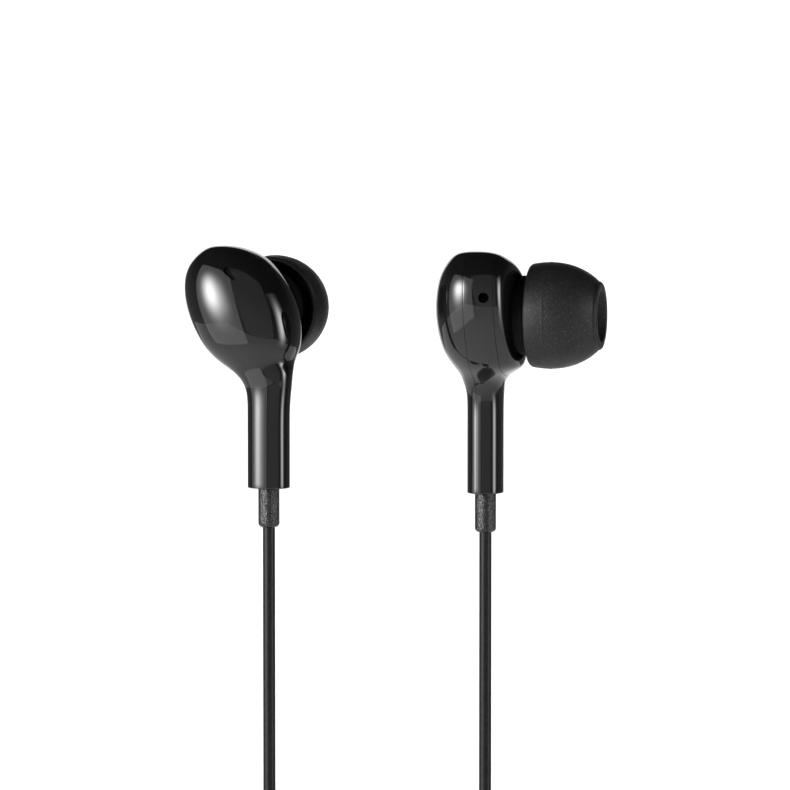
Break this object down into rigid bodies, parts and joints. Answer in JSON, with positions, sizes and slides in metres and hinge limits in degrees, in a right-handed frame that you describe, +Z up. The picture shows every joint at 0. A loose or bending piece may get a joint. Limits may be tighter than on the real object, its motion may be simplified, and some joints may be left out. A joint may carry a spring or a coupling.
{
  "type": "wired earphones",
  "caption": "Pair of wired in-ear earphones with glossy bulb-and-stem shells, silicone tips, cords that join at a splitter, and a round plug.",
  "frame": {"origin": "where the left earpiece's tip sits in the ear: on the nozzle's axis, at the tip's widest ring", "axes": "+Z up the stems, +X from the left earpiece to the right one, +Y to the back"},
  "size_m": [0.0514, 0.0269, 0.1956],
  "materials": {
    "shell": "high gloss",
    "silicone": "matte, fine grain",
    "relief_rubber": "stippled matte",
    "cord": "satin",
    "mesh_metal": "woven",
    "steel": "plated",
    "magnet": "nickel plated",
    "copper": "enamelled wire",
    "film": "thin film",
    "damper_cloth": "porous",
    "tie": "matte",
    "plug_plastic": "satin",
    "gold": "gold plated",
    "insulator": "satin"
  },
  "bodies": {
    "root": {"outer_cap_a": "shell", "mid_body_a": "shell", "nozzle_cap_a": "shell", "nozzle_mesh_a": "mesh_metal", "strain_relief_a": "relief_rubber", "wire_clamp_a": "relief_rubber", "vent_damper_a": "damper_cloth", "driver_frame_a": "steel", "driver_yoke_a": "steel", "driver_magnet_a": "magnet", "driver_plate_a": "steel", "surround_a": "film", "driver_cover_a": "steel", "outer_cap_b": "shell", "mid_body_b": "shell", "nozzle_cap_b": "shell", "nozzle_mesh_b": "mesh_metal", "strain_relief_b": "relief_rubber", "wire_clamp_b": "relief_rubber", "vent_damper_b": "damper_cloth", "driver_frame_b": "steel", "driver_yoke_b": "steel", "driver_magnet_b": "magnet", "driver_plate_b": "steel", "surround_b": "film", "driver_cover_b": "steel", "cord_a": "cord", "cord_b": "cord", "cord_main": "cord", "hank_a": "cord", "hank_b": "cord", "hank_main": "cord", "tie_a": "tie", "tie_b": "tie", "tie_main": "tie", "splitter_front": "plug_plastic", "splitter_back": "plug_plastic", "plug_relief": "relief_rubber", "plug_body": "plug_plastic", "plug_sleeve": "gold", "plug_ring": "gold", "plug_tip": "gold", "plug_insulators": "insulator"},
    "tip_a": {"ear_tip_a": "silicone"},
    "tip_b": {"ear_tip_b": "silicone"},
    "cone_a": {"diaphragm_a": "film", "voice_coil_a": "copper"},
    "cone_b": {"diaphragm_b": "film", "voice_coil_b": "copper"}
  },
  "joints": [
    {"name": "tip_pull_a", "type": "slide", "parent": "root", "child": "tip_a", "axis": [0.342, 0.9397, 0], "range_m": [0, 0.006]},
    {"name": "diaphragm_a_travel", "type": "slide", "parent": "root", "child": "cone_a", "axis": [0.342, 0.9397, 0], "range_m": [-0.0002, 0.0002], "stiffness_N_per_m": 100},
    {"name": "tip_pull_b", "type": "slide", "parent": "root", "child": "tip_b", "axis": [0.9744, -0.225, 0], "range_m": [0, 0.006]},
    {"name": "diaphragm_b_travel", "type": "slide", "parent": "root", "child": "cone_b", "axis": [0.9744, -0.225, 0], "range_m": [-0.0002, 0.0002], "stiffness_N_per_m": 100}
  ]
}
